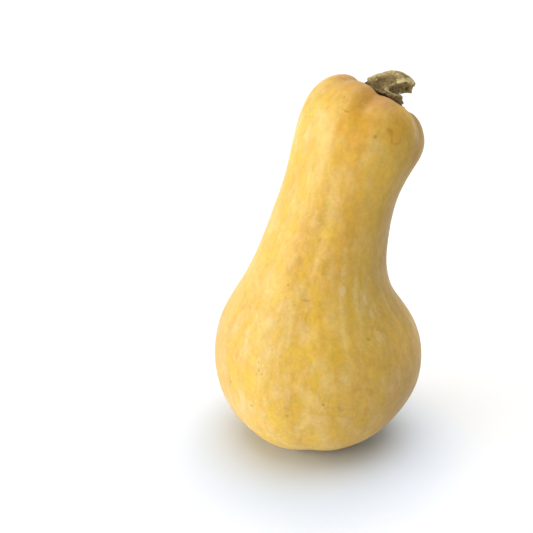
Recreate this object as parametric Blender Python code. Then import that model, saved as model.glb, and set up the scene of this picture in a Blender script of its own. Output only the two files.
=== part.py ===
"""Butternut squash: one ripe fruit standing on its blossom end, with its short broken stem.

The fruit is a turned outline (bulb, neck and shoulder) with five shallow valleys pressed into it,
bent along a leaning spine and settled on a small flat spot. The stem is a woody, five-ridged stub
that sits in the dimple of the shoulder, bends over to one side and ends in a torn, hollow break.

The origin is on the resting plane, in the middle of the flat spot. +Z is up. Seen along +Y, the
neck leans to the right (+X) and slightly away. Lengths are in millimetres and angles in degrees
until the meshes are made.
"""

import math

import bpy
import numpy as np

MM = 0.001

# Outline of the unbent fruit: (height along the spine, radius), from blossom end to stem dimple
FRUIT_OUTLINE = (
    (0.0, 0.0),
    (0.8, 14.0),
    (3.4, 27.5),
    (10.3, 40.6),
    (28.5, 54.3),
    (52.0, 59.5),
    (76.0, 53.8),
    (95.0, 42.3),
    (112.0, 35.9),
    (130.0, 33.0),
    (152.0, 31.5),
    (178.0, 33.9),
    (192.5, 33.6),
    (203.6, 26.3),
    (206.8, 17.9),
    (205.1, 11.9),
    (203.9, 6.0),
    (203.5, 0.0),
)

# Angle of the spine at the blossom end, and its bends: (height of start, height of end, angle gained)
LEAN_START = -6.5  # towards +X
LEAN_BENDS = ((6.0, 46.0, 3.1), (44.0, 152.0, 18.4), (146.5, 212.0, 17.3))
BACK_START = 3.5  # towards +Y
BACK_BENDS = ((90.0, 160.0, 2.5), (155.0, 205.0, 5.0))

# The valleys between the lobes: (angle round the spine from +X, share of the full depth, half width)
VALLEYS = (
    (-104.0, 1.6, 12.0),
    (-30.0, 1.0, 15.0),
    (49.0, 0.9, 17.0),
    (122.0, 0.8, 18.0),
    (-152.0, 1.0, 12.0),
)
# Depth of a full valley as a share of the radius: (height along the spine, share)
VALLEY_DEPTH = (
    (0.0, 0.05),
    (15.0, 0.03),
    (60.0, 0.012),
    (110.0, 0.018),
    (150.0, 0.016),
    (180.0, 0.018),
    (198.0, 0.045),
    (210.0, 0.09),
)
VALLEY_MEAN = 0.25  # share of the depth given back to the lobes, so that the fruit keeps its girth
CREST_DROP = 0.9  # how far a full valley lowers the rim of the shoulder
CREST_FROM = 165.0  # height where that lowering starts
CREST_FULL = 200.0  # height where it is complete
CREST_RADII = (7.0, 17.0)  # the lowering fades between these radii, to keep the dimple floor round

# Resting spot
REST_CENTRE = (-10.7, 5.4)  # its middle, measured from the blossom end
SINK = 2.2  # depth of the round bottom that the flat spot takes away
FLOOR_BLEND = 1.0  # half the height over which the round bottom eases into the flat spot
SCAR_RADIUS = 5.5  # dimple of the blossom scar
SCAR_DEPTH = 1.4

# Stem: seat, bend and thickness
STEM_GAP = 0.5  # clearance between the stem's underside and the dimple floor
SEAT_SHARE = 0.26  # share of the length over which the stem's side forgets the slope of that floor
STEM_OUTLINE = (  # (share of the length, radius)
    (0.0, 11.8),
    (0.07, 12.6),
    (0.16, 11.1),
    (0.3, 10.5),
    (0.46, 8.6),
    (0.7, 7.5),
    (1.0, 6.6),
)
STEM_LENGTH = 20.7  # along its centre line, to the furthest tip
STEM_BEND = 108.5
STEM_BEND_RANGE = (4.2, 17.7)  # lengths where the bend starts and ends
STEM_BENDS_TO = -28.0  # direction of the bend, round the spine from +X
STEM_RIDGES = 5
RIDGE_PHASE = 159.0  # angle of one ridge; 0 is the inner side of the bend
RIDGE_HEIGHT = 0.13  # share of the radius
LOBE_ANGLE = -22.0  # the wall left standing on the inner side of the bend
LOBE_WIDTH = 24.0  # its half width, in degrees
LOBE_SHARES = (0.08, 0.42)  # shares of the length between which it straightens up
LOBE_RISE = 3.4
LOBE_OUT = 3.3

# The torn end of the stem
TORN_RIM = (  # (angle, share of the length that is left there); -90 faces the viewer
    (-180.0, 0.93),
    (-140.0, 0.89),
    (-120.0, 0.84),
    (-105.0, 0.78),
    (-90.0, 0.68),
    (-78.0, 0.65),
    (-62.0, 0.46),
    (-42.0, 0.36),
    (-15.0, 0.48),
    (30.0, 0.41),
    (58.0, 0.48),
    (76.0, 0.78),
    (88.0, 0.81),
    (110.0, 1.0),
    (140.0, 0.86),
    (180.0, 0.93),
)
HOLLOW_FLOOR = 0.24  # share of the length where the hollow end is deepest
HOLLOW_STEEP = 2.4  # 1 is a cone; higher gives a thinner rim
SPLINTER = 0.012  # unevenness of the torn rim, as a share of the length

# Facets
FRUIT_RINGS = 52
FRUIT_SIDES = 64
STEM_RINGS = 22
STEM_END_RINGS = 8
STEM_UNDER_RINGS = 4
STEM_SIDES = 40
RING_CROWDING = 0.65  # 0 spaces the fruit's rings evenly, 1 crowds them towards both ends
SPINE_STEP = 0.25

FRUIT_COLOUR = (0.80, 0.52, 0.13, 1.0)
FRUIT_ROUGHNESS = 0.45
STEM_COLOUR = (0.26, 0.19, 0.08, 1.0)
STEM_ROUGHNESS = 0.85


def clear_scene():
    for item in list(bpy.data.objects):
        bpy.data.objects.remove(item, do_unlink=True)


def smooth_rise(x, low, high):
    """0 below low, 1 above high, and an S-shaped rise between them."""
    t = np.clip((x - low) / (high - low), 0.0, 1.0)
    return t * t * (3.0 - 2.0 * t)


def curve_through(knots, values, x):
    """The natural cubic curve through (knots, values), read at x."""
    knots = np.asarray(knots, float)
    values = np.asarray(values, float)
    count = len(knots)
    step = np.diff(knots)
    slope = np.diff(values, axis=0) / step.reshape((-1,) + (1,) * (values.ndim - 1))
    matrix = np.eye(count)
    right = np.zeros_like(values)
    for i in range(1, count - 1):
        matrix[i, i - 1 : i + 2] = step[i - 1], 2.0 * (step[i - 1] + step[i]), step[i]
        right[i] = 6.0 * (slope[i] - slope[i - 1])
    bend = np.linalg.solve(matrix, right)
    x = np.clip(np.asarray(x, float), knots[0], knots[-1])
    k = np.clip(np.searchsorted(knots, x) - 1, 0, count - 2)
    shape = x.shape + (1,) * (values.ndim - 1)
    h = step[k].reshape(shape)
    a = (knots[k + 1] - x).reshape(shape) / h
    b = 1.0 - a
    cubic = (a**3 - a) * bend[k] + (b**3 - b) * bend[k + 1]
    return a * values[k] + b * values[k + 1] + cubic * h * h / 6.0


def read_table(table, x):
    """The smooth curve through a table of (position, value) rows, read at x."""
    rows = np.array(table)
    return curve_through(rows[:, 0], rows[:, 1], x)


def fruit_outline(shares):
    """(height, radius) of the unbent fruit at these shares of the outline's length.

    Two stations are mirrored across each end, so that the outline crosses the axis square to it."""
    rows = np.array(FRUIT_OUTLINE)
    mirror = np.array([1.0, -1.0])
    rows = np.vstack([rows[2:0:-1] * mirror, rows, rows[-2:-4:-1] * mirror])
    length = np.concatenate([[0.0], np.cumsum(np.linalg.norm(np.diff(rows, axis=0), axis=1))])
    first, last = length[2], length[-3]
    points = curve_through(length, rows, first + shares * (last - first))
    return points[:, 0], points[:, 1]


def crowded(count, crowding):
    """Shares from 0 to 1, closer together towards both ends."""
    t = np.linspace(0.0, 1.0, count)
    return (1.0 - crowding) * t + crowding * 0.5 * (1.0 - np.cos(math.pi * t))


def bend_angle(start, bends, heights):
    return np.radians(start + sum(gain * smooth_rise(heights, low, high) for low, high, gain in bends))


def along_spine(heights):
    """Point, direction and two cross directions (first one towards +X) of the spine at each height."""
    top = max(row[0] for row in FRUIT_OUTLINE) + 2.0 * STEM_LENGTH
    fine = np.arange(0.0, top, SPINE_STEP)
    lean = np.tan(bend_angle(LEAN_START, LEAN_BENDS, fine))
    back = np.tan(bend_angle(BACK_START, BACK_BENDS, fine))
    direction = np.stack([lean, back, np.ones_like(fine)], axis=-1)
    direction /= np.linalg.norm(direction, axis=-1, keepdims=True)
    steps = (direction[1:] + direction[:-1]) * 0.5 * SPINE_STEP
    blossom_end = np.array([-REST_CENTRE[0], -REST_CENTRE[1], -SINK])
    points = blossom_end + np.vstack([np.zeros(3), np.cumsum(steps, axis=0)])
    point, along = (
        np.stack([np.interp(heights, fine, column) for column in table.T], axis=-1)
        for table in (points, direction)
    )
    along /= np.linalg.norm(along, axis=-1, keepdims=True)
    across = np.array([1.0, 0.0, 0.0]) - along[..., :1] * along
    across /= np.linalg.norm(across, axis=-1, keepdims=True)
    return point, along, across, np.cross(along, across)


def valley_share(angles):
    """0 on the lobes, rising to each valley's share of the full depth."""
    share = np.zeros_like(angles)
    for place, depth, half_width in VALLEYS:
        away = (np.degrees(angles) - place + 180.0) % 360.0 - 180.0
        share = np.maximum(share, depth * np.exp(-((away / half_width) ** 2)))
    return share


def settle(z):
    """Heights over the floor once the round bottom has eased into its flat spot."""
    eased = (z + FLOOR_BLEND) ** 2 / (4.0 * FLOOR_BLEND)
    return np.where(z > FLOOR_BLEND, z, np.where(z < -FLOOR_BLEND, 0.0, eased))


def ring_angles(count):
    return np.linspace(-math.pi, math.pi, count, endpoint=False)


def fruit_rings(shares, angles):
    """The fruit's skin as an array of points, one row for each share of the outline."""
    height, radius = (column[:, None] for column in fruit_outline(shares))
    valley = valley_share(angles)[None, :]
    depth = read_table(VALLEY_DEPTH, height)
    drop = CREST_DROP * smooth_rise(height, CREST_FROM, CREST_FULL) * smooth_rise(radius, *CREST_RADII)
    radii = radius * (1.0 - depth * (valley - VALLEY_MEAN))
    point, _, across, beyond = along_spine(height - drop * valley)
    sideways = np.cos(angles)[None, :, None] * across + np.sin(angles)[None, :, None] * beyond
    skin = point + radii[..., None] * sideways
    scar = SCAR_DEPTH * np.clip(1.0 - (radius / SCAR_RADIUS) ** 2, 0.0, 1.0) ** 2
    blossom_end = height < FRUIT_OUTLINE[1][0]
    skin[..., 2] = settle(skin[..., 2]) + np.where(blossom_end, scar, 0.0)
    return skin


def dimple_floor(radii):
    """Height of the dimple floor at these distances from the spine."""
    shares = np.linspace(0.8, 1.0, 400)
    height, radius = fruit_outline(shares)
    floor = radius < FRUIT_OUTLINE[-4][1]
    return np.interp(radii, radius[floor][::-1], height[floor][::-1])


def stem_seat():
    """Middle of the dimple floor and the directions of the spine there."""
    return [v[0] for v in along_spine(np.array([FRUIT_OUTLINE[-1][0]]))]


def stem_frame(shares):
    """Point, direction and two cross directions of the stem's centre line at these shares of its length.

    The first cross direction points to the inner side of the bend."""
    seat, along, across, beyond = stem_seat()
    turn = math.radians(STEM_BENDS_TO)
    inward = math.cos(turn) * across + math.sin(turn) * beyond
    fine = np.linspace(0.0, STEM_LENGTH, 400)
    angle = np.radians(STEM_BEND) * smooth_rise(fine, *STEM_BEND_RANGE)
    direction = np.cos(angle)[:, None] * along + np.sin(angle)[:, None] * inward
    steps = (direction[1:] + direction[:-1]) * 0.5 * (fine[1] - fine[0])
    points = seat + np.vstack([np.zeros(3), np.cumsum(steps, axis=0)])
    point, heading = (
        np.stack([np.interp(shares * STEM_LENGTH, fine, column) for column in table.T], axis=-1)
        for table in (points, direction)
    )
    heading /= np.linalg.norm(heading, axis=-1, keepdims=True)
    side = np.cross(along, inward)
    return point, heading, np.cross(side, heading), np.broadcast_to(side, heading.shape)


def stem_reach(angles):
    """Share of the stem's length that is left at each angle."""
    rim = np.array(TORN_RIM)
    ragged = SPLINTER * (np.sin(3.0 * angles + 0.6) + 0.6 * np.sin(8.0 * angles + 2.0) - 1.2)
    return np.interp(np.degrees(angles), rim[:, 0], rim[:, 1]) + ragged


def stem_points(shares, fractions, angles):
    """Points inside the stem, at these shares of its length and fractions of its radius.

    Close to the root they are lifted with the dimple floor, and one lobe of the wall stands upright."""
    ridge = np.cos(STEM_RIDGES * (angles - math.radians(RIDGE_PHASE)))
    radii = read_table(STEM_OUTLINE, shares) * (1.0 + RIDGE_HEIGHT * ridge) * fractions
    point, _, inward, side = stem_frame(shares)
    sideways = np.cos(angles)[..., None] * inward + np.sin(angles)[..., None] * side
    lift = dimple_floor(radii) - FRUIT_OUTLINE[-1][0] + STEM_GAP
    lift = lift * (1.0 - smooth_rise(shares, 0.0, SEAT_SHARE))
    away = (np.degrees(angles) - LOBE_ANGLE) / LOBE_WIDTH
    lobe = np.exp(-(away**2)) * smooth_rise(shares, *LOBE_SHARES) * fractions
    _, along, across, _ = stem_seat()
    upright = lift[..., None] * along + lobe[..., None] * (LOBE_RISE * along + LOBE_OUT * across)
    return point + radii[..., None] * sideways + upright


def stem_rings(under, side, end, angles):
    """Rings from the middle of the underside, up the torn side and down into the hollow end."""
    reach = stem_reach(angles)
    rings = [stem_points(np.zeros_like(angles), share * np.ones_like(angles), angles) for share in under]
    rings += [stem_points(share * reach, np.ones_like(angles), angles) for share in side]
    for share in end:
        depth = HOLLOW_FLOOR + (reach - HOLLOW_FLOOR) * (1.0 - share) ** HOLLOW_STEEP
        rings.append(stem_points(depth, (1.0 - share) * np.ones_like(angles), angles))
    return np.array(rings)


def skinned(name, rings, first, last):
    """A closed mesh object through rows of points, with a single point closing each end."""
    count, sides, _ = rings.shape
    points = np.vstack([first, rings.reshape(-1, 3), last]) * MM
    faces = []
    for j in range(sides):
        k = (j + 1) % sides
        faces.append((0, 1 + k, 1 + j))
        for i in range(count - 1):
            low, high = 1 + i * sides, 1 + (i + 1) * sides
            faces.append((low + j, low + k, high + k, high + j))
        top = 1 + (count - 1) * sides
        faces.append((top + j, top + k, len(points) - 1))
    mesh = bpy.data.meshes.new(name)
    mesh.from_pydata(points.tolist(), [], faces)
    mesh.shade_smooth()
    item = bpy.data.objects.new(name, mesh)
    bpy.context.scene.collection.objects.link(item)
    return item


def finish(item, colour, roughness):
    material = bpy.data.materials.new(item.name)
    material.use_nodes = True
    shader = material.node_tree.nodes["Principled BSDF"]
    shader.inputs["Base Color"].default_value = colour
    shader.inputs["Roughness"].default_value = roughness
    shader.inputs["Metallic"].default_value = 0.0
    item.data.materials.append(material)


def make_fruit():
    skin = fruit_rings(crowded(FRUIT_RINGS, RING_CROWDING), ring_angles(FRUIT_SIDES))
    fruit = skinned("fruit", skin[1:-1], skin[0].mean(axis=0), skin[-1].mean(axis=0))
    finish(fruit, FRUIT_COLOUR, FRUIT_ROUGHNESS)


def make_stem():
    under = np.linspace(0.0, 1.0, STEM_UNDER_RINGS, endpoint=False)
    side = np.linspace(0.0, 1.0, STEM_RINGS)
    end = np.linspace(0.0, 1.0, STEM_END_RINGS + 1)[1:]
    rings = stem_rings(under, side, end, ring_angles(STEM_SIDES))
    stem = skinned("stem", rings[1:-1], rings[0].mean(axis=0), rings[-1].mean(axis=0))
    finish(stem, STEM_COLOUR, STEM_ROUGHNESS)


clear_scene()
make_fruit()
make_stem()
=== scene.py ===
"""The looks of the butternut squash: a fine skin for the fruit and for its torn stem, their
procedural materials, and the plain studio that they stand in.

The shapes are worked out in millimetres and degrees from the same dimensions as the solids, and
turned into metres when the meshes are made. Angles round the fruit are counted from +X: the
viewer is at -90.
"""

import math

import bpy
import numpy as np
from mathutils import Matrix, Vector


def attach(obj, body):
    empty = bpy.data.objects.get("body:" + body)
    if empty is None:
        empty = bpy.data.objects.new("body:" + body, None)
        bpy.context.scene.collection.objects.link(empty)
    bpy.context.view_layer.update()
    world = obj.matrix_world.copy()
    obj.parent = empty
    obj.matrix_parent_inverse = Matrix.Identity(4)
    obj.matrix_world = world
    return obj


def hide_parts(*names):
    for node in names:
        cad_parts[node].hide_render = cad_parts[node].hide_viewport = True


MM = 0.001

# Outline of the unbent fruit: (height along the spine, radius), from blossom end to stem dimple
FRUIT_OUTLINE = (
    (0.0, 0.0),
    (0.8, 14.0),
    (3.4, 27.5),
    (10.3, 40.6),
    (28.5, 54.3),
    (52.0, 59.5),
    (76.0, 53.8),
    (95.0, 42.3),
    (112.0, 35.9),
    (130.0, 33.0),
    (152.0, 31.5),
    (178.0, 33.9),
    (192.5, 33.6),
    (203.6, 26.3),
    (206.8, 17.9),
    (205.1, 11.9),
    (203.9, 6.0),
    (203.5, 0.0),
)

# Angle of the spine at the blossom end, and its bends: (height of start, height of end, angle gained)
LEAN_START = -6.5
LEAN_BENDS = ((6.0, 46.0, 3.1), (44.0, 152.0, 18.4), (146.5, 212.0, 17.3))
BACK_START = 3.5
BACK_BENDS = ((90.0, 160.0, 2.5), (155.0, 205.0, 5.0))

# The valleys between the lobes: (angle round the spine from +X, share of the full depth, half width)
VALLEYS = (
    (-104.0, 1.6, 12.0),
    (-30.0, 1.0, 15.0),
    (49.0, 0.9, 17.0),
    (122.0, 0.8, 18.0),
    (-152.0, 1.0, 12.0),
)
# Depth of a full valley as a share of the radius: (height along the spine, share)
VALLEY_DEPTH = (
    (0.0, 0.05),
    (15.0, 0.03),
    (60.0, 0.012),
    (110.0, 0.018),
    (150.0, 0.016),
    (180.0, 0.018),
    (198.0, 0.045),
    (210.0, 0.09),
)
VALLEY_MEAN = 0.25
CREST_DROP = 0.9
CREST_FROM = 165.0
CREST_FULL = 200.0
CREST_RADII = (7.0, 17.0)

# Resting spot and blossom scar
REST_CENTRE = (-10.7, 5.4)
SINK = 2.2
FLOOR_BLEND = 1.0
SCAR_RADIUS = 5.5
SCAR_DEPTH = 1.4

# Stem
STEM_GAP = 0.5
SEAT_SHARE = 0.26
STEM_OUTLINE = (
    (0.0, 11.8),
    (0.07, 12.6),
    (0.16, 11.1),
    (0.3, 10.5),
    (0.46, 8.6),
    (0.7, 7.5),
    (1.0, 6.6),
)
STEM_LENGTH = 20.7
STEM_BEND = 108.5
STEM_BEND_RANGE = (4.2, 17.7)
STEM_BENDS_TO = -28.0
STEM_RIDGES = 5
RIDGE_PHASE = 159.0
RIDGE_HEIGHT = 0.13
LOBE_ANGLE = -22.0
LOBE_WIDTH = 24.0
LOBE_SHARES = (0.08, 0.42)
LOBE_RISE = 3.4
LOBE_OUT = 3.3
# The torn rim: (angle round the stem, share of the length that is left there)
TORN_RIM = (
    (-180.0, 0.93),
    (-140.0, 0.89),
    (-120.0, 0.84),
    (-105.0, 0.78),
    (-90.0, 0.68),
    (-78.0, 0.65),
    (-62.0, 0.46),
    (-42.0, 0.36),
    (-15.0, 0.48),
    (30.0, 0.41),
    (58.0, 0.48),
    (76.0, 0.78),
    (88.0, 0.81),
    (110.0, 1.0),
    (140.0, 0.86),
    (180.0, 0.93),
)
# Floor of the torn hollow, as a share of the stem's length: shallower than in the solids, so that light
# reaches it
HOLLOW_FLOOR = 0.33
HOLLOW_STEEP = 2.4
SPLINTER = 0.012
# The fine fraying of the rim, as a share of the stem's length
FRAYED = 0.05
# The foot of the stem is drawn in by this much on its far side, where it would show over the crest
FOOT_TRIM = 2.4
FOOT_TRIM_ANGLE = 180.0

SPINE_STEP = 0.25

# Fineness of the two skins
FRUIT_RINGS = 320
FRUIT_SIDES = 300
RING_CROWDING = 0.35
STEM_RINGS = 150
STEM_END_RINGS = 110
STEM_UNDER_RINGS = 12
STEM_SIDES = 280

# Camera, in metres, degrees and (lens and sensor) millimetres
CAMERA_AIM = (-0.02335, 0.0021, 0.1017)
CAMERA_DISTANCE = 0.5862
CAMERA_ELEVATION = 22.5
CAMERA_LENS = 70.0
SENSOR_WIDTH = 36.0


def smooth_rise(x, low, high):
    """0 below low, 1 above high, and an S-shaped rise between them."""
    t = np.clip((x - low) / (high - low), 0.0, 1.0)
    return t * t * (3.0 - 2.0 * t)


def curve_through(knots, values, x):
    """The natural cubic curve through (knots, values), read at x."""
    knots = np.asarray(knots, float)
    values = np.asarray(values, float)
    count = len(knots)
    step = np.diff(knots)
    slope = np.diff(values, axis=0) / step.reshape((-1,) + (1,) * (values.ndim - 1))
    matrix = np.eye(count)
    right = np.zeros_like(values)
    for i in range(1, count - 1):
        matrix[i, i - 1 : i + 2] = step[i - 1], 2.0 * (step[i - 1] + step[i]), step[i]
        right[i] = 6.0 * (slope[i] - slope[i - 1])
    bend = np.linalg.solve(matrix, right)
    x = np.clip(np.asarray(x, float), knots[0], knots[-1])
    k = np.clip(np.searchsorted(knots, x) - 1, 0, count - 2)
    shape = x.shape + (1,) * (values.ndim - 1)
    h = step[k].reshape(shape)
    a = (knots[k + 1] - x).reshape(shape) / h
    b = 1.0 - a
    cubic = (a**3 - a) * bend[k] + (b**3 - b) * bend[k + 1]
    return a * values[k] + b * values[k + 1] + cubic * h * h / 6.0


def read_table(table, x):
    rows = np.array(table)
    return curve_through(rows[:, 0], rows[:, 1], x)


class Noise:
    """Smooth, repeatable noise between -1 and 1 at points in space."""

    def __init__(self, seed, size=24):
        self.size = size
        self.grid = np.random.default_rng(seed).uniform(-1.0, 1.0, (size, size, size))

    def __call__(self, points):
        cell = np.floor(points).astype(int)
        t = points - cell
        t = t * t * (3.0 - 2.0 * t)
        total = 0.0
        for corner in np.ndindex(2, 2, 2):
            weight = np.prod(np.where(corner, t, 1.0 - t), axis=-1)
            i, j, k = np.moveaxis((cell + corner) % self.size, -1, 0)
            total = total + weight * self.grid[i, j, k]
        return total


def layered(noise, points, octaves):
    """Noise with finer layers added, each half as strong as the one before."""
    total = sum(noise(points * 2.0**i + 7.3 * i) / 2.0**i for i in range(octaves))
    return total / (2.0 - 2.0 ** (1 - octaves))


def fruit_outline(shares):
    """(height, radius) of the unbent fruit at these shares of the outline's length."""
    rows = np.array(FRUIT_OUTLINE)
    mirror = np.array([1.0, -1.0])
    rows = np.vstack([rows[2:0:-1] * mirror, rows, rows[-2:-4:-1] * mirror])
    length = np.concatenate([[0.0], np.cumsum(np.linalg.norm(np.diff(rows, axis=0), axis=1))])
    first, last = length[2], length[-3]
    points = curve_through(length, rows, first + shares * (last - first))
    return points[:, 0], points[:, 1]


def crowded(count, crowding):
    t = np.linspace(0.0, 1.0, count)
    return (1.0 - crowding) * t + crowding * 0.5 * (1.0 - np.cos(math.pi * t))


def bend_angle(start, bends, heights):
    return np.radians(start + sum(gain * smooth_rise(heights, low, high) for low, high, gain in bends))


def along_spine(heights):
    """Point, direction and two cross directions (first one towards +X) of the spine at each height."""
    top = max(row[0] for row in FRUIT_OUTLINE) + 2.0 * STEM_LENGTH
    fine = np.arange(0.0, top, SPINE_STEP)
    lean = np.tan(bend_angle(LEAN_START, LEAN_BENDS, fine))
    back = np.tan(bend_angle(BACK_START, BACK_BENDS, fine))
    direction = np.stack([lean, back, np.ones_like(fine)], axis=-1)
    direction /= np.linalg.norm(direction, axis=-1, keepdims=True)
    steps = (direction[1:] + direction[:-1]) * 0.5 * SPINE_STEP
    blossom_end = np.array([-REST_CENTRE[0], -REST_CENTRE[1], -SINK])
    points = blossom_end + np.vstack([np.zeros(3), np.cumsum(steps, axis=0)])
    point, along = (
        np.stack([np.interp(heights, fine, column) for column in table.T], axis=-1)
        for table in (points, direction)
    )
    along /= np.linalg.norm(along, axis=-1, keepdims=True)
    across = np.array([1.0, 0.0, 0.0]) - along[..., :1] * along
    across /= np.linalg.norm(across, axis=-1, keepdims=True)
    return point, along, across, np.cross(along, across)


def valley_share(angles):
    """0 on the lobes, rising to each valley's share of the full depth."""
    share = np.zeros_like(angles)
    for place, depth, half_width in VALLEYS:
        away = (np.degrees(angles) - place + 180.0) % 360.0 - 180.0
        share = np.maximum(share, depth * np.exp(-((away / half_width) ** 2)))
    return share


def settle(z):
    eased = (z + FLOOR_BLEND) ** 2 / (4.0 * FLOOR_BLEND)
    return np.where(z > FLOOR_BLEND, z, np.where(z < -FLOOR_BLEND, 0.0, eased))


def ring_angles(count):
    return np.linspace(-math.pi, math.pi, count, endpoint=False)


def normals_of(rings):
    """Outward unit normals of a grid of points whose rows are closed rings."""
    round_it = np.roll(rings, -1, axis=1) - np.roll(rings, 1, axis=1)
    along_it = np.gradient(rings, axis=0)
    normal = np.cross(round_it, along_it)
    return normal / np.maximum(np.linalg.norm(normal, axis=-1, keepdims=True), 1e-9)


def fruit_rings(shares, angles):
    """The plain skin of the fruit, and the height and radius of each ring before the bend."""
    height, radius = (column[:, None] for column in fruit_outline(shares))
    valley = valley_share(angles)[None, :]
    depth = read_table(VALLEY_DEPTH, height)
    drop = CREST_DROP * smooth_rise(height, CREST_FROM, CREST_FULL) * smooth_rise(radius, *CREST_RADII)
    radii = radius * (1.0 - depth * (valley - VALLEY_MEAN))
    point, _, across, beyond = along_spine(height - drop * valley)
    sideways = np.cos(angles)[None, :, None] * across + np.sin(angles)[None, :, None] * beyond
    skin = point + radii[..., None] * sideways
    scar = SCAR_DEPTH * np.clip(1.0 - (radius / SCAR_RADIUS) ** 2, 0.0, 1.0) ** 2
    blossom_end = height < FRUIT_OUTLINE[1][0]
    skin[..., 2] = settle(skin[..., 2]) + np.where(blossom_end, scar, 0.0)
    return skin, height, radius


def dimple_floor(radii):
    shares = np.linspace(0.8, 1.0, 400)
    height, radius = fruit_outline(shares)
    floor = radius < FRUIT_OUTLINE[-4][1]
    return np.interp(radii, radius[floor][::-1], height[floor][::-1])


def stem_seat():
    """Middle of the dimple floor and the directions of the spine there."""
    return [v[0] for v in along_spine(np.array([FRUIT_OUTLINE[-1][0]]))]


def stem_frame(shares):
    """Point, direction and two cross directions of the stem's centre line at these shares of its length."""
    seat, along, across, beyond = stem_seat()
    turn = math.radians(STEM_BENDS_TO)
    inward = math.cos(turn) * across + math.sin(turn) * beyond
    fine = np.linspace(0.0, STEM_LENGTH, 400)
    angle = np.radians(STEM_BEND) * smooth_rise(fine, *STEM_BEND_RANGE)
    direction = np.cos(angle)[:, None] * along + np.sin(angle)[:, None] * inward
    steps = (direction[1:] + direction[:-1]) * 0.5 * (fine[1] - fine[0])
    points = seat + np.vstack([np.zeros(3), np.cumsum(steps, axis=0)])
    point, heading = (
        np.stack([np.interp(shares * STEM_LENGTH, fine, column) for column in table.T], axis=-1)
        for table in (points, direction)
    )
    heading /= np.linalg.norm(heading, axis=-1, keepdims=True)
    side = np.cross(along, inward)
    return point, heading, np.cross(side, heading), np.broadcast_to(side, heading.shape)


def stem_reach(angles):
    """Share of the stem's length that is left at each angle."""
    rim = np.array(TORN_RIM)
    ragged = SPLINTER * (np.sin(3.0 * angles + 0.6) + 0.6 * np.sin(8.0 * angles + 2.0) - 1.2)
    return np.interp(np.degrees(angles), rim[:, 0], rim[:, 1]) + ragged


def stem_points(shares, fractions, angles):
    """Points inside the stem, at these shares of its length and fractions of its radius."""
    ridge = np.cos(STEM_RIDGES * (angles - math.radians(RIDGE_PHASE)))
    radii = read_table(STEM_OUTLINE, shares) * (1.0 + RIDGE_HEIGHT * ridge) * fractions
    point, _, inward, side = stem_frame(shares)
    sideways = np.cos(angles)[..., None] * inward + np.sin(angles)[..., None] * side
    lift = dimple_floor(radii) - FRUIT_OUTLINE[-1][0] + STEM_GAP
    lift = lift * (1.0 - smooth_rise(shares, 0.0, SEAT_SHARE))
    away = (np.degrees(angles) - LOBE_ANGLE) / LOBE_WIDTH
    lobe = np.exp(-(away**2)) * smooth_rise(shares, *LOBE_SHARES) * fractions
    _, along, across, _ = stem_seat()
    upright = lift[..., None] * along + lobe[..., None] * (LOBE_RISE * along + LOBE_OUT * across)
    return point + radii[..., None] * sideways + upright


def skinned(name, rings, attributes):
    """A closed mesh object through rings of points whose first and last rings have shrunk to a point.

    attributes maps a name to one value for each point of the rings, a number or a vector."""
    count, sides, _ = rings.shape
    inner = rings[1:-1].reshape(-1, 3)
    points = np.vstack([rings[0].mean(axis=0), inner, rings[-1].mean(axis=0)]) * MM
    j = np.arange(sides)
    k = (j + 1) % sides
    rows = np.arange(count - 3)[:, None] * sides + 1
    quads = np.stack([rows + j, rows + k, rows + k + sides, rows + j + sides], axis=-1).reshape(-1, 4)
    last_row = 1 + (count - 3) * sides
    fans = [(0, 1 + b, 1 + a) for a, b in zip(j, k)]
    fans += [(last_row + a, last_row + b, len(points) - 1) for a, b in zip(j, k)]
    mesh = bpy.data.meshes.new(name)
    mesh.from_pydata(points.tolist(), [], quads.tolist() + fans)
    mesh.shade_smooth()
    for label, values in attributes.items():
        width = values.shape[2:]
        rest = values[1:-1].reshape((-1,) + width)
        flat = np.concatenate([values[0, :1], rest, values[-1, :1]])
        kind, field = ("FLOAT_VECTOR", "vector") if width else ("FLOAT", "value")
        layer = mesh.attributes.new(label, kind, "POINT")
        layer.data.foreach_set(field, flat.ravel().astype(np.float32))
    item = bpy.data.objects.new(name, mesh)
    bpy.context.scene.collection.objects.link(item)
    return item


# Patches of colour on the fruit, and of painted shade down its right side: (kind, height, angle, length,
# width in degrees, strength). Heights and lengths follow the outline, in millimetres.
PATCHES = (
    # These three patches are painted shade: the rind is darkened down the right side, away from the low
    # light on the left
    ("right_side_shade", 100.0, -2.0, 600.0, 52.0, 1.0),
    ("right_side_shade", 190.0, -30.0, 60.0, 30.0, 0.7),
    ("right_side_shade", 40.0, -30.0, 40.0, 32.0, 0.6),
    ("pale", 172.0, -122.0, 60.0, 8.0, 0.7),
    ("pale", 80.0, -172.0, 140.0, 20.0, 0.6),
    ("pale", 30.0, -150.0, 40.0, 20.0, 0.5),
    ("pale", 88.0, -122.0, 34.0, 12.0, 0.5),
    ("pale", 150.0, -100.0, 50.0, 5.0, 0.4),
    ("pale", 10.0, -105.0, 20.0, 40.0, 0.5),
    ("pale", 84.0, -76.0, 50.0, 2.5, 0.8),
    ("pale", 100.0, -64.0, 30.0, 2.5, 0.6),
    ("pale", 200.0, -82.0, 22.0, 8.0, 0.5),
    ("orange", 206.0, -125.0, 34.0, 46.0, 1.0),
    ("orange", 200.0, -70.0, 24.0, 26.0, 0.8),
    ("orange", 180.0, -100.0, 34.0, 10.0, 0.8),
    ("orange", 132.0, -78.0, 60.0, 14.0, 0.6),
    ("orange", 172.0, -140.0, 30.0, 10.0, 0.5),
    ("orange", 60.0, -72.0, 80.0, 12.0, 0.5),
    ("olive", 168.0, -52.0, 80.0, 24.0, 0.8),
    ("olive", 115.0, -62.0, 70.0, 14.0, 0.5),
)
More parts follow.
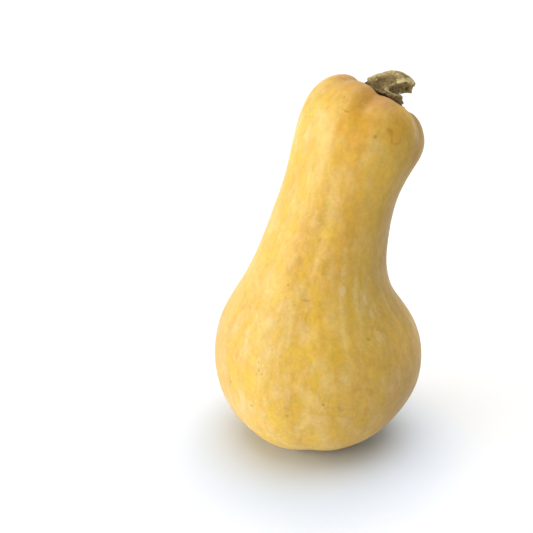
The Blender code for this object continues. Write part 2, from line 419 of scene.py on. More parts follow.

# Slow changes of tone over the fruit, with painted light in them: raised near the floor as painted bounce
# light, lowered down the right side as painted shade: (height, angle, length, width in degrees, share by
# which the red, green and blue of the rind are raised)
TONE_AND_LIGHT_GAINS = (
    (6.0, -112.0, 46.0, 30.0, (0.26, 0.25, 0.34)),
    (8.0, -66.0, 24.0, 18.0, (0.12, 0.09, 0.20)),
    (34.0, -134.0, 50.0, 24.0, (0.11, 0.15, 0.48)),
    (36.0, -34.0, 50.0, 28.0, (-0.22, -0.27, -0.36)),
    (70.0, -18.0, 36.0, 20.0, (0.14, 0.12, 0.12)),
    (56.0, -172.0, 66.0, 24.0, (-0.09, -0.17, -0.14)),
    (205.0, -20.0, 12.0, 20.0, (-0.06, -0.10, -0.20)),
    (94.0, -60.0, 50.0, 10.0, (0.00, 0.04, 0.36)),
    (140.0, -26.0, 90.0, 24.0, (-0.21, -0.22, -0.32)),
    (150.0, -44.0, 70.0, 12.0, (-0.05, -0.08, -0.24)),
    (188.0, -28.0, 44.0, 28.0, (-0.24, -0.31, -0.80)),
    (168.0, -62.0, 24.0, 12.0, (0.10, 0.07, -0.04)),
    (207.0, -160.0, 16.0, 30.0, (-0.26, -0.36, -0.50)),
    (206.0, -120.0, 14.0, 14.0, (0.02, 0.04, 0.20)),
    (206.0, -92.0, 14.0, 26.0, (-0.20, -0.30, -0.26)),
    (206.0, -60.0, 8.0, 14.0, (0.18, 0.24, 0.80)),
    (180.0, -154.0, 30.0, 22.0, (0.00, 0.14, 0.68)),
    (193.0, -106.0, 30.0, 24.0, (-0.01, -0.11, -0.46)),
    (112.0, -102.0, 44.0, 14.0, (0.03, 0.05, 0.26)),
    (124.0, -126.0, 30.0, 14.0, (0.00, -0.05, -0.18)),
    (150.0, -95.0, 120.0, 60.0, (0.04, 0.00, -0.06)),
)

# Colours of the small marks, as linear red, green and blue
SPECK = (0.170, 0.075, 0.015)
SMUDGE = (0.430, 0.235, 0.018)
SPOT = (0.660, 0.345, 0.028)
RUSSET = (0.520, 0.250, 0.045)
BLEACH = (0.780, 0.590, 0.270)
GREYED = (0.560, 0.430, 0.150)

# Small marks on the rind: (tone, one end and the other as height and angle, half width in mm, strength)
MARKS = (
    (SPECK, (186.8, -84.8), (186.8, -84.8), 0.9, 0.8),
    (SPOT, (186.8, -84.8), (186.8, -84.8), 2.4, 0.35),
    (SMUDGE, (192.4, -76.0), (191.8, -71.0), 1.5, 0.60),
    (SMUDGE, (189.6, -71.0), (187.6, -68.0), 1.1, 0.55),
    (SMUDGE, (187.6, -68.0), (188.2, -63.0), 1.1, 0.50),
    (SMUDGE, (188.2, -63.0), (191.6, -62.0), 1.0, 0.40),
    (SPOT, (190.0, -68.0), (190.0, -65.0), 4.6, 0.35),
    (RUSSET, (191.0, -120.5), (191.6, -115.5), 0.6, 0.6),
    (RUSSET, (180.0, -165.0), (181.5, -152.0), 0.6, 0.35),
    (RUSSET, (199.0, -136.0), (200.0, -129.0), 0.6, 0.35),
    (RUSSET, (202.8, -168.0), (204.2, -148.0), 0.8, 0.45),
    (SPOT, (195.0, -114.0), (194.0, -112.0), 1.7, 0.45),
    (SPOT, (198.0, -119.0), (198.0, -117.0), 1.3, 0.35),
    (RUSSET, (203.6, -63.0), (203.2, -60.0), 1.4, 0.35),
    (SPOT, (189.0, -117.5), (178.0, -116.0), 3.0, 0.7),
    (SPOT, (189.0, -89.5), (194.0, -89.0), 1.5, 0.45),
    (SPOT, (194.0, -89.0), (195.0, -84.0), 1.3, 0.4),
    (GREYED, (185.0, -84.0), (178.0, -67.0), 4.5, 0.4),
    (GREYED, (176.0, -76.0), (160.0, -71.0), 2.2, 0.35),
    (BLEACH, (201.0, -106.0), (192.0, -96.0), 4.1, 0.40),
    (BLEACH, (204.5, -49.0), (195.4, -37.5), 1.6, 0.64),
    (RUSSET, (187.5, -32.0), (185.5, -31.0), 2.6, 0.4),
    (RUSSET, (153.0, -152.0), (151.0, -151.5), 1.5, 0.35),
    (RUSSET, (147.0, -147.0), (146.0, -147.0), 1.3, 0.3),
    (SPOT, (170.0, -88.0), (163.0, -84.0), 3.0, 0.5),
    (SMUDGE, (98.0, -106.5), (98.0, -101.0), 0.9, 0.5),
    (RUSSET, (116.0, -115.0), (115.0, -114.5), 2.4, 0.28),
    (SMUDGE, (129.0, -103.0), (128.0, -103.0), 1.2, 0.35),
    (SMUDGE, (119.0, -94.0), (112.0, -93.0), 2.0, 0.3),
    (BLEACH, (109.0, -75.5), (101.0, -75.0), 2.8, 0.60),
    (BLEACH, (117.0, -76.5), (112.0, -76.0), 1.9, 0.40),
    (BLEACH, (130.0, -79.0), (121.0, -77.0), 1.9, 0.36),
    (BLEACH, (103.0, -57.0), (98.0, -55.0), 2.0, 0.40),
    (BLEACH, (94.0, -52.5), (88.0, -53.0), 1.9, 0.32),
    (BLEACH, (84.0, -53.5), (76.0, -52.0), 3.6, 0.32),
    (BLEACH, (91.0, -84.5), (84.0, -81.0), 5.2, 0.32),
    (SPOT, (69.0, -142.5), (66.5, -142.0), 2.8, 0.75),
    (SPECK, (68.0, -125.5), (67.0, -125.5), 0.6, 0.35),
    (SPECK, (64.0, -124.5), (63.0, -124.5), 0.6, 0.3),
    (SPECK, (51.4, -147.2), (51.0, -147.0), 0.9, 0.45),
    (SPECK, (42.2, -131.0), (42.0, -130.5), 0.9, 0.4),
    (SPECK, (48.0, -90.0), (47.5, -89.5), 1.0, 0.4),
    (SPECK, (40.0, -110.0), (39.8, -109.5), 0.8, 0.3),
    (SPECK, (80.0, -61.0), (79.6, -60.6), 0.9, 0.3),
    (SMUDGE, (44.5, -81.5), (43.0, -80.5), 1.6, 0.4),
    (RUSSET, (50.0, -63.0), (53.0, -66.0), 1.7, 0.45),
    (SPOT, (43.0, -96.0), (43.0, -90.0), 3.0, 0.5),
    (SPOT, (35.0, -91.0), (33.0, -89.0), 2.6, 0.45),
    (SPOT, (33.5, -52.0), (32.0, -50.0), 3.0, 0.5),
    (SPOT, (59.0, -82.5), (62.0, -84.0), 1.7, 0.5),
    (BLEACH, (53.5, -98.0), (50.5, -96.5), 5.5, 0.36),
    (BLEACH, (64.0, -79.0), (59.0, -77.0), 3.1, 0.40),
    (BLEACH, (55.5, -115.0), (52.0, -113.5), 5.1, 0.32),
    (BLEACH, (82.0, -139.5), (73.0, -136.0), 2.3, 0.48),
    (BLEACH, (79.0, -150.5), (75.0, -149.5), 5.5, 0.40),
    (BLEACH, (97.0, -117.0), (91.0, -121.0), 3.2, 0.40),
    (SMUDGE, (143.0, -108.0), (136.0, -104.5), 3.6, 0.22),
    (SMUDGE, (101.0, -107.0), (96.0, -101.0), 3.4, 0.20),
    (SMUDGE, (120.0, -96.0), (110.0, -92.0), 3.6, 0.18),
    (SMUDGE, (86.0, -90.0), (78.0, -88.0), 4.2, 0.14),
    (SMUDGE, (40.0, -88.0), (44.0, -80.0), 4.6, 0.16),
    (BLEACH, (88.0, -124.5), (85.0, -123.5), 3.8, 0.32),
)
# How deep a mark reaches under the skin, in mm
MARK_DEPTH = 3.0
# A mark whose ends are closer than this is round
ROUND_MARK = 0.2
# Share of a mark's half size that has its full strength, for small dark marks and for broad pale ones
SHARP_CORE = 0.45
SOFT_CORE = 0.05


def on_skin(height, angle):
    """The point of the plain skin at this height, outside the dimple, and this angle in degrees."""
    shares = np.linspace(0.0, 1.0, 4001)
    heights, _ = fruit_outline(shares)
    outside = slice(0, int(np.argmax(heights)) + 1)
    share = np.interp(height, heights[outside], shares[outside])
    skin, _, _ = fruit_rings(np.array([share]), np.radians([angle]))
    return skin[0, 0]


def mark_boxes():
    """Tone, middle, turn, half sizes (along, across and inwards) and strength of each small mark."""
    boxes = []
    for tone, start, end, half_width, strength in MARKS:
        first, last = on_skin(*start), on_skin(*end)
        middle = 0.5 * (first + last)
        outward = middle - along_spine(np.array([0.5 * (start[0] + end[0])]))[0][0]
        along = last - first
        if np.linalg.norm(along) < ROUND_MARK:
            along = np.cross(outward, [0.0, 0.0, 1.0])
        half_length = 0.5 * np.linalg.norm(last - first) + half_width
        inward = Vector(-outward).normalized()
        forward = Vector(along).normalized()
        beside = inward.cross(forward).normalized()
        forward = beside.cross(inward)
        turn = Matrix((forward, beside, inward)).transposed().to_euler()
        sizes = tuple(MM * size for size in (half_length, half_width, MARK_DEPTH))
        boxes.append((tone, tuple(MM * middle), tuple(turn), sizes, strength))
    return boxes


def soft_patch(height, angles, place, turn, length, width):
    """1 at this place and turn, fading outwards over the grid of heights and angles."""
    round_it = ((np.degrees(angles) - turn + 180.0) % 360.0 - 180.0) / width
    up_it = (height - place) / (0.5 * length)
    return np.exp(-(round_it**2) - up_it**2)


def tone_and_light_gains(height, angles):
    """Factor for red, green and blue over the grid of heights and angles: changes of tone, with painted
    bounce light near the floor and painted shade down the right side.
    """
    gains = np.ones(np.broadcast_shapes(height.shape, angles.shape) + (3,))
    for *patch, gain in TONE_AND_LIGHT_GAINS:
        gains += soft_patch(height, angles, *patch)[..., None] * np.array(gain)
    return gains


def patch_masks(height, angles):
    """One mask from 0 to 1 for each kind of patch, over the grid of heights and angles."""
    masks = {kind: np.zeros(np.broadcast_shapes(height.shape, angles.shape)) for kind, *_ in PATCHES}
    for kind, *patch, strength in PATCHES:
        masks[kind] = np.maximum(masks[kind], strength * soft_patch(height, angles, *patch))
    return masks


# Height up the fruit, in mm, over which a streak changes as much as over one radian round it
STREAK_LENGTH = 60.0
# Relief of the rind, in mm: how far its swellings, bumps and ribs stand out, and the size of the first two
SWELL_RELIEF, BUMP_RELIEF, RIB_RELIEF = 0.42, 0.12, 0.10
SWELL_SIZE, BUMP_SIZE = 38.0, 9.0
# Heights and radii over which the relief fades out, at the floor and in the dimple
FLOOR_FADE = (0.2, 6.0)
DIMPLE_HEIGHTS = (203.0, 206.0)
DIMPLE_RADII = (14.0, 20.0)


def fruit_relief(skin, streaks, height, radius):
    """How far each point of the fruit stands out from the plain skin, in millimetres."""
    swell, bump, rib = Noise(11), Noise(12), Noise(13)
    relief = SWELL_RELIEF * layered(swell, skin / SWELL_SIZE, 2)
    relief += BUMP_RELIEF * layered(bump, skin / BUMP_SIZE, 2)
    relief += RIB_RELIEF * layered(rib, streaks * np.array([5.0, 5.0, 0.35]), 2)
    off_floor = smooth_rise(skin[..., 2], *FLOOR_FADE)
    outside = 1.0 - smooth_rise(height, *DIMPLE_HEIGHTS) * (1.0 - smooth_rise(radius, *DIMPLE_RADII))
    return relief * off_floor * outside


def make_fruit():
    shares = crowded(FRUIT_RINGS, RING_CROWDING)
    angles = ring_angles(FRUIT_SIDES)
    skin, height, radius = fruit_rings(shares, angles)
    blank = np.zeros((len(shares), len(angles)))
    round_it = [np.cos(angles) + blank, np.sin(angles) + blank]
    streaks = np.stack(round_it + [height / STREAK_LENGTH + blank], axis=-1)
    skin = skin + fruit_relief(skin, streaks, height, radius)[..., None] * normals_of(skin)
    skin[..., 2] = np.maximum(skin[..., 2], 0.0)
    attributes = {
        "streaks": streaks,
        "height": height + blank,
        "radius": radius + blank,
        # The tone factors hold painted bounce light near the floor and painted shade down the right side, as
        # well as colour
        "tone": tone_and_light_gains(height, angles[None]),
    }
    for kind, mask in patch_masks(height, angles[None]).items():
        attributes[kind] = mask
    fruit = skinned("squash_fruit", skin, attributes)
    fruit.data.materials.append(rind_material())
    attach(fruit, "root")
    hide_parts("fruit")


# Relief of the stem, in mm: how far its ridges, lumps, warts, strands and torn inside stand out, the size of
# the lumps and warts, and what is taken off the bark so that all this doesn't thicken the stem
RIDGE_RELIEF, LUMP_RELIEF, WART_RELIEF, STRAND_RELIEF, TORN_RELIEF = 0.70, 0.80, 0.75, 0.16, 0.55
LUMP_SIZE, WART_SIZE = 2.8, 1.5
BARK_DROP = 0.35
STEM_RADIUS = 8.5


def stem_relief(shares, inside, angles):
    """How far each point of the stem stands out from the plain form, in millimetres."""
    round_it = np.stack([np.cos(angles), np.sin(angles)], axis=-1)
    length = shares * STEM_LENGTH
    places = np.concatenate([round_it * STEM_RADIUS, length[..., None]], axis=-1)
    fibres = np.concatenate([round_it * 13.0, 0.12 * length[..., None]], axis=-1)
    ridge = 0.5 + 0.5 * np.cos(STEM_RIDGES * (angles - math.radians(RIDGE_PHASE)))
    crest = RIDGE_RELIEF * (ridge**3 - 0.3) * smooth_rise(shares, 0.1, 0.3)
    lumps = LUMP_RELIEF * layered(Noise(21), places / LUMP_SIZE, 3)
    warts = WART_RELIEF * smooth_rise(layered(Noise(22), places / WART_SIZE, 2), 0.20, 0.70)
    strands = STRAND_RELIEF * layered(Noise(23), fibres * 0.55, 3)
    hollow = np.concatenate([round_it * 5.0, 0.5 * length[..., None]], axis=-1)
    torn = TORN_RELIEF * layered(Noise(24), hollow, 3)
    outer = crest + lumps + warts + strands - BARK_DROP
    far_side = smooth_rise(-np.cos(angles - math.radians(FOOT_TRIM_ANGLE)), -0.9, -0.4) - 1.0
    outer = outer + FOOT_TRIM * far_side * (1.0 - smooth_rise(shares, 0.1, 0.22))
    trimmed = smooth_rise(shares, 0.0, 0.02) * (far_side < 0.0)
    seated = np.maximum(smooth_rise(shares, 0.0, 0.07), trimmed)
    return (outer * (1.0 - inside) + torn * inside) * seated


def make_stem():
    angles = ring_angles(STEM_SIDES)
    round_it = np.stack([np.cos(angles), np.sin(angles), 0.0 * angles], axis=-1)
    reach = stem_reach(angles) + FRAYED * layered(Noise(25), round_it * 5.0, 3)
    ones = np.ones_like(angles)
    rows = [(0.0 * ones, share * ones, 0.0) for share in np.linspace(0.0, 1.0, STEM_UNDER_RINGS)[:-1]]
    rows += [(share * reach, ones, 0.0) for share in np.linspace(0.0, 1.0, STEM_RINGS)]
    # The hollow falls away gently from the low side of the rim, and steeply under the high side
    steep = HOLLOW_STEEP * (0.45 + 0.65 * smooth_rise(reach, 0.4, 0.95))
    for share in np.linspace(0.0, 1.0, STEM_END_RINGS + 1)[1:]:
        depth = HOLLOW_FLOOR + (reach - HOLLOW_FLOOR) * (1.0 - share) ** steep
        rows.append((depth, (1.0 - share) * ones, smooth_rise(share, 0.0, 0.12)))
    shares = np.array([row[0] for row in rows])
    fractions = np.array([row[1] for row in rows])
    inside = np.array([row[2] for row in rows])[:, None] * ones
    turns = angles[None] + 0.0 * shares
    skin = stem_points(shares, fractions, turns)
    relief = stem_relief(shares, inside, turns) * smooth_rise(fractions, 0.0, 0.4)
    skin = skin + relief[..., None] * normals_of(skin)
    along = np.stack([np.cos(turns) * fractions, np.sin(turns) * fractions, shares], axis=-1)
    attributes = {
        "share": shares,
        "inside": inside,
        "raised": relief,
        "edge": (1.0 - inside) * shares / reach + inside * fractions,
        "fibres": along,
    }
    stem = skinned("squash_stem", skin, attributes)
    stem.data.materials.append(stem_material())
    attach(stem, "root")
    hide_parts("stem")


class Nodes:
    """Short names for building one material's node tree."""

    def __init__(self, name):
        self.material = bpy.data.materials.new(name)
        self.material.use_nodes = True
        self.tree = self.material.node_tree
        self.shader = self.tree.nodes["Principled BSDF"]

    def link(self, source, socket):
        if isinstance(source, (int, float, tuple)):
            socket.default_value = source
        else:
            self.tree.links.new(source, socket)

    def new(self, kind, **settings):
        node = self.tree.nodes.new(kind)
        for key, value in settings.items():
            setattr(node, key, value)
        return node

    def attribute(self, name, vector=False):
        node = self.new("ShaderNodeAttribute", attribute_name=name)
        return node.outputs["Vector" if vector else "Fac"]

    def place(self):
        return self.new("ShaderNodeTexCoord").outputs["Object"]

    def scaled(self, vector, x, y, z):
        node = self.new("ShaderNodeMapping")
        self.link(vector, node.inputs["Vector"])
        node.inputs["Scale"].default_value = (x, y, z)
        return node.outputs["Vector"]

    def shifted(self, vector, by):
        node = self.new("ShaderNodeMapping")
        self.link(vector, node.inputs["Vector"])
        node.inputs["Location"].default_value = (by, by, by)
        return node.outputs["Vector"]

    def noise(self, vector, scale, detail=2.0, rough=0.5, distortion=0.0):
        node = self.new("ShaderNodeTexNoise")
        self.link(vector, node.inputs["Vector"])
        node.inputs["Scale"].default_value = scale
        node.inputs["Detail"].default_value = detail
        node.inputs["Roughness"].default_value = rough
        node.inputs["Distortion"].default_value = distortion
        return node.outputs["Fac"]

    def cells(self, vector, scale):
        node = self.new("ShaderNodeTexVoronoi")
        self.link(vector, node.inputs["Vector"])
        node.inputs["Scale"].default_value = scale
        return node.outputs["Distance"]

    def marked(self, vector, middle, turn, sizes, wobble, core, strength):
        """strength in the middle of an ellipsoid, and 0 outside it, with an edge that wobbles."""
        box = self.new("ShaderNodeMapping", vector_type="TEXTURE")
        self.link(vector, box.inputs["Vector"])
        box.inputs["Location"].default_value = middle
        box.inputs["Rotation"].default_value = turn
        box.inputs["Scale"].default_value = sizes
        reach = self.new("ShaderNodeVectorMath", operation="LENGTH")
        self.link(box.outputs["Vector"], reach.inputs[0])
        return self.rise(self.math("ADD", reach.outputs["Value"], wobble), core, 1.15, strength, 0.0)

    def math(self, operation, a, b=0.0, c=0.0):
        node = self.new("ShaderNodeMath", operation=operation)
        for value, socket in zip((a, b, c), node.inputs):
            self.link(value, socket)
        return node.outputs[0]

    def rise(self, value, low, high, start=0.0, end=1.0):
        """start below low, end above high, and a smooth change between them."""
        node = self.new("ShaderNodeMapRange", interpolation_type="SMOOTHSTEP")
        for label, number in zip(("From Min", "From Max", "To Min", "To Max"), (low, high, start, end)):
            node.inputs[label].default_value = number
        self.link(value, node.inputs["Value"])
        return node.outputs["Result"]

    def mix(self, share, a, b, blend="MIX"):
        node = self.new("ShaderNodeMix", data_type="RGBA", blend_type=blend)
        self.link(share, node.inputs["Factor"])
        for value, label in ((a, "A"), (b, "B")):
            socket = [s for s in node.inputs if s.name == label and s.type == "RGBA"][0]
            self.link((*value, 1.0) if isinstance(value, tuple) else value, socket)
        return [s for s in node.outputs if s.type == "RGBA"][0]

    def bump(self, height, distance, strength=1.0, normal=None):
        node = self.new("ShaderNodeBump")
        node.inputs["Strength"].default_value = strength
        node.inputs["Distance"].default_value = distance
        self.link(height, node.inputs["Height"])
        if normal is not None:
            self.link(normal, node.inputs["Normal"])
        return node.outputs["Normal"]

    def set(self, **sockets):
        for label, value in sockets.items():
            self.link(value, self.shader.inputs[label.replace("_", " ")])


# Colours of the rind, as linear red, green and blue
YELLOW = (0.755, 0.480, 0.078)
CREAM = (0.785, 0.560, 0.170)
AMBER = (0.625, 0.340, 0.036)
OLIVE = (0.590, 0.405, 0.040)
RIGHT_SIDE_SHADE = (0.455, 0.285, 0.050)
# Painted shade for the right side of the fruit
WASHED = (0.755, 0.535, 0.190)
SAFFRON = (0.735, 0.455, 0.030)
PEACH = (0.735, 0.420, 0.078)
GREENISH = (0.635, 0.455, 0.055)
# Factors for the fine light and dark grain
DARKER = (0.910, 0.905, 0.890)
LIGHTER = (1.075, 1.075, 1.065)
# Pores, the dimple's wall down to the stem, and painted shade in the crevice at the stem's foot
BROWN = (0.230, 0.110, 0.030)
ROOT_BROWN = (0.330, 0.170, 0.045)
CREVICE_SHADE = (0.055, 0.020, 0.006)


def rind_material():
    n = Nodes("rind")
    streaks = n.attribute("streaks", vector=True)
    place = n.place()
    height = n.attribute("height")

    mottle = n.noise(place, 60.0, 6.0, 0.68, 0.1)
    blotch = n.noise(n.scaled(n.shifted(place, 3.1), 1.0, 1.0, 0.6), 130.0, 4.0, 0.58, 0.1)
    grain = n.noise(n.shifted(place, 7.7), 520.0, 4.0, 0.75)
    bands = n.noise(n.scaled(streaks, 2.6, 2.6, 0.4), 1.0, 3.0, 0.5, 0.4)
    streak = n.noise(n.scaled(streaks, 8.0, 8.0, 1.3), 1.0, 6.0, 0.66, 0.2)
    fine = n.noise(n.scaled(streaks, 24.0, 24.0, 3.2), 1.0, 4.0, 0.6, 0.1)

    colour = n.mix(n.rise(bands, 0.36, 0.64, 0.0, 1.0), AMBER, YELLOW)
    colour = n.mix(n.rise(mottle, 0.44, 0.60, 0.0, 0.60), colour, YELLOW)
    colour = n.mix(n.rise(streak, 0.50, 0.72, 0.0, 0.66), colour, CREAM)
    colour = n.mix(n.rise(streak, 0.50, 0.32, 0.0, 0.66), colour, AMBER)
    colour = n.mix(n.rise(blotch, 0.48, 0.72, 0.0, 0.40), colour, CREAM)
    colour = n.mix(n.rise(blotch, 0.52, 0.30, 0.0, 0.65), colour, AMBER)
    colour = n.mix(n.rise(fine, 0.54, 0.72, 0.0, 0.30), colour, CREAM)
    wash = n.noise(n.scaled(n.shifted(place, 4.4), 1.0, 1.0, 0.6), 105.0, 5.0, 0.60, 0.1)
    colour = n.mix(n.rise(wash, 0.45, 0.68, 0.0, 0.68), colour, WASHED)
    colour = n.mix(n.rise(wash, 0.55, 0.33, 0.0, 0.80), colour, SAFFRON)
    hue = n.noise(n.scaled(n.shifted(place, 5.9), 1.0, 1.0, 0.75), 200.0, 5.0, 0.70, 0.2)
    colour = n.mix(n.rise(hue, 0.48, 0.68, 0.0, 0.50), colour, PEACH)
    colour = n.mix(n.rise(hue, 0.52, 0.32, 0.0, 0.50), colour, GREENISH)
    ragged = n.math("ADD", n.math("MULTIPLY", mottle, 0.9), n.math("MULTIPLY", streak, 1.1))
    uneven = n.rise(ragged, 0.80, 1.15, 0.55, 1.0)
    # The first kind is painted shade down the right side; the others are colours of the rind
    for kind, tone in (("right_side_shade", RIGHT_SIDE_SHADE), ("olive", OLIVE), ("orange", AMBER), ("pale", CREAM)):
        colour = n.mix(n.math("MULTIPLY", n.attribute(kind), uneven), colour, tone)
    colour = n.mix(n.rise(grain, 0.44, 0.60, 0.0, 0.07), colour, BROWN)
    light = n.noise(n.scaled(n.shifted(place, 9.1), 1.0, 1.0, 0.7), 250.0, 6.0, 0.75)
    colour = n.mix(1.0, colour, n.mix(n.rise(light, 0.32, 0.68), DARKER, LIGHTER), "MULTIPLY")
    wobble = n.math("MULTIPLY_ADD", n.noise(n.shifted(place, 2.6), 450.0, 3.0, 0.6), 2.2, -1.1)
    for tone, middle, turn, sizes, strength in mark_boxes():
        core = SHARP_CORE if tone in (SPECK, SMUDGE, RUSSET) else SOFT_CORE
        colour = n.mix(n.marked(place, middle, turn, sizes, wobble, core, strength), colour, tone)
    # Painted bounce light near the floor and painted shade down the right side, together with slow changes
    # of tone
    colour = n.mix(1.0, colour, n.attribute("tone", vector=True), "MULTIPLY")

    dots = n.cells(place, 300.0)
    which = n.noise(n.shifted(place, 1.3), 130.0, 2.0)
    dotted = n.math("MULTIPLY", n.rise(dots, 0.08, 0.28, 0.4, 0.0), n.rise(which, 0.60, 0.70))
    colour = n.mix(dotted, colour, BROWN)
    within = n.attribute("radius")
    top = n.rise(height, 202.0, 203.4)
    colour = n.mix(n.math("MULTIPLY", top, n.rise(within, 12.0, 17.5, 0.75, 0.0)), colour, ROOT_BROWN)
    # Painted shade: near black in the crevice round the stem's foot
    colour = n.mix(n.math("MULTIPLY", top, n.rise(within, 11.0, 13.5, 1.0, 0.0)), colour, CREVICE_SHADE)
    n.set(Base_Color=colour, Roughness=n.rise(mottle, 0.3, 0.7, 0.42, 0.58))
    n.set(Specular_IOR_Level=0.4, Subsurface_Weight=0.08, Subsurface_Scale=0.004)
    n.set(Subsurface_Radius=(1.0, 0.45, 0.15), Sheen_Weight=0.08, Sheen_Roughness=0.4)
    n.set(Normal=n.bump(n.noise(place, 700.0, 4.0, 0.6), 0.00012, 0.6))
    return n.material


# Colours of the stem's bark and hollow; the dark and light ones also paint shade in its grooves and
# highlight on its ridges, and the red one shade at its foot
STEM_LIGHT = (0.600, 0.490, 0.225)
STEM_TAN = (0.320, 0.245, 0.096)
STEM_DARK = (0.150, 0.098, 0.038)
STEM_RED = (0.185, 0.095, 0.050)
STEM_RIM = (0.640, 0.540, 0.260)
HOLLOW_TAN = (0.640, 0.520, 0.300)
HOLLOW_DARK = (0.300, 0.215, 0.100)


def stem_material():
    n = Nodes("stem_bark")
    place = n.place()
    fibres = n.attribute("fibres", vector=True)
    share, raised = n.attribute("share"), n.attribute("raised")
    mottle = n.noise(place, 400.0, 5.0, 0.78, 0.6)
    strands = n.noise(n.scaled(fibres, 9.0, 9.0, 3.0), 1.0, 4.0, 0.65)
    grain = n.noise(place, 1100.0, 4.0, 0.75)
    specks = n.noise(n.shifted(place, 6.2), 620.0, 3.0, 0.7)
    colour = n.mix(n.rise(mottle, 0.42, 0.58), STEM_TAN, STEM_LIGHT)
    colour = n.mix(n.rise(strands, 0.52, 0.40, 0.0, 0.4), colour, STEM_DARK)
    # Painted shade where the stem's relief sinks into grooves, and painted highlight where it stands out
    colour = n.mix(n.rise(raised, -0.15, -0.95, 0.0, 0.70), colour, STEM_DARK)
    colour = n.mix(n.rise(raised, 0.05, 0.65, 0.0, 0.7), colour, STEM_LIGHT)
    colour = n.mix(n.rise(grain, 0.54, 0.66, 0.0, 0.60), colour, STEM_DARK)
    hollow = n.mix(n.rise(mottle, 0.40, 0.58), HOLLOW_DARK, HOLLOW_TAN)
    colour = n.mix(n.attribute("inside"), colour, hollow)
    colour = n.mix(n.rise(n.attribute("edge"), 0.80, 0.97, 0.0, 0.65), colour, STEM_RIM)
    colour = n.mix(n.rise(specks, 0.56, 0.66, 0.0, 0.65), colour, STEM_RED)
    # Painted shade: darker red-brown towards the stem's foot
    colour = n.mix(n.rise(share, 0.36, 0.16, 0.0, 0.42), colour, STEM_RED)
    # Painted shade: near black in the crevice where the stem's foot meets the fruit
    colour = n.mix(n.rise(share, 0.20, 0.13), colour, CREVICE_SHADE)
    n.set(Base_Color=colour, Roughness=0.85, Specular_IOR_Level=0.25)
    rough = n.bump(n.noise(place, 1200.0, 4.0, 0.7), 0.0003, 0.8)
    n.set(Normal=n.bump(n.noise(n.scaled(fibres, 40.0, 40.0, 6.0), 1.0, 3.0), 0.0003, 0.5, rough))
    return n.material


# The floor is tinted cool near the fruit, against the warm colour that the fruit throws on it: both tints,
# the middle of the cool one, and the distances from there over which it turns into the pale one, in metres
PALE_FLOOR = (0.960, 0.965, 0.970)
SHADOW_FLOOR = (0.800, 0.872, 0.975)
SHADOW_CENTRE = (0.0, -0.02, 0.0)
SHADOW_REACH = (0.055, 0.120)
FLOOR_HALF = 6.0


def make_floor():
    mesh = bpy.data.meshes.new("floor")
    corners = [(x * FLOOR_HALF, y * FLOOR_HALF, 0.0) for x, y in ((-1, -1), (1, -1), (1, 1), (-1, 1))]
    mesh.from_pydata(corners, [], [(0, 1, 2, 3)])
    floor = bpy.data.objects.new("floor", mesh)
    bpy.context.scene.collection.objects.link(floor)
    n = Nodes("floor_white")
    from_middle = n.new("ShaderNodeVectorMath", operation="LENGTH")
    shadow = n.new("ShaderNodeMapping", vector_type="TEXTURE")
    n.link(n.place(), shadow.inputs["Vector"])
    shadow.inputs["Location"].default_value = SHADOW_CENTRE
    n.link(shadow.outputs["Vector"], from_middle.inputs[0])
    tint = n.rise(from_middle.outputs["Value"], *SHADOW_REACH)
    n.set(Base_Color=n.mix(tint, SHADOW_FLOOR, PALE_FLOOR), Roughness=1.0, Specular_IOR_Level=0.0)
    mesh.materials.append(n.material)


# Soft lights: (name, direction round the part from the viewer towards +X, height above the floor,
# width across as an angle, strength)
LIGHTS = (
    ("left_low", -80.0, 3.0, 50.0, 0.82),
    ("front_left_low", -50.0, 3.0, 50.0, 0.45),
    ("back_left_low", -110.0, 3.0, 50.0, 0.15),
    ("right_behind", 120.0, 45.0, 60.0, 0.16),
    ("behind", 180.0, 35.0, 60.0, 0.26),
    ("top", 0.0, 90.0, 60.0, 0.54),
)
# Brightness of the surroundings: as a light, and as the camera sees them
SKY = 0.2
BACKDROP = 1.05


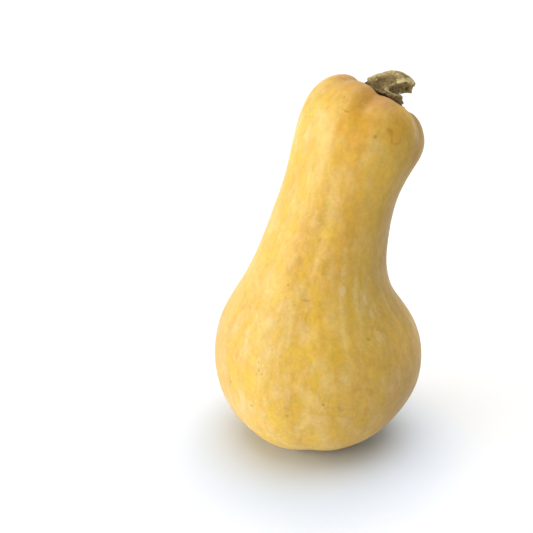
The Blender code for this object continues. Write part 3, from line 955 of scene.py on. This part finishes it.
def make_light():
    for name, round_it, height, width, strength in LIGHTS:
        data = bpy.data.lights.new(name, "SUN")
        data.energy = math.pi * strength
        data.angle = math.radians(width)
        item = bpy.data.objects.new(name, data)
        turn, rise = math.radians(round_it), math.radians(height)
        level = math.cos(rise)
        source = Vector((math.sin(turn) * level, -math.cos(turn) * level, math.sin(rise)))
        item.rotation_euler = source.to_track_quat("Z", "Y").to_euler()
        bpy.context.scene.collection.objects.link(item)
    world = bpy.data.worlds.new("studio")
    world.use_nodes = True
    nodes, links = world.node_tree.nodes, world.node_tree.links
    sky = nodes["Background"]
    sky.inputs["Color"].default_value = (1.0, 1.0, 1.0, 1.0)
    sky.inputs["Strength"].default_value = SKY
    backdrop = nodes.new("ShaderNodeBackground")
    backdrop.inputs["Color"].default_value = (1.0, 1.0, 1.0, 1.0)
    backdrop.inputs["Strength"].default_value = BACKDROP
    which = nodes.new("ShaderNodeMixShader")
    links.new(nodes.new("ShaderNodeLightPath").outputs["Is Camera Ray"], which.inputs["Fac"])
    links.new(sky.outputs["Background"], which.inputs[1])
    links.new(backdrop.outputs["Background"], which.inputs[2])
    links.new(which.outputs["Shader"], nodes["World Output"].inputs["Surface"])
    bpy.context.scene.world = world


def make_camera():
    data = bpy.data.cameras.new("camera")
    data.lens = CAMERA_LENS
    data.sensor_width = SENSOR_WIDTH
    item = bpy.data.objects.new("camera", data)
    tilt = math.radians(CAMERA_ELEVATION)
    back = Vector((0.0, -math.cos(tilt), math.sin(tilt)))
    item.location = Vector(CAMERA_AIM) + CAMERA_DISTANCE * back
    item.rotation_euler = (math.radians(90.0) - tilt, 0.0, 0.0)
    bpy.context.scene.collection.objects.link(item)
    bpy.context.scene.camera = item


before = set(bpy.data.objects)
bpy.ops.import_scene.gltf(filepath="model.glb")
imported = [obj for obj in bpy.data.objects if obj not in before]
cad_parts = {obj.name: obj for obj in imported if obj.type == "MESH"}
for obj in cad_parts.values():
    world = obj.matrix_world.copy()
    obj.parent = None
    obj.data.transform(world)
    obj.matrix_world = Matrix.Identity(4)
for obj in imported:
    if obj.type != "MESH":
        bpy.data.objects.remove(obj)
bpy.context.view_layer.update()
make_camera()
make_light()
make_floor()
make_fruit()
make_stem()
bpy.context.scene.view_settings.view_transform = "Standard"
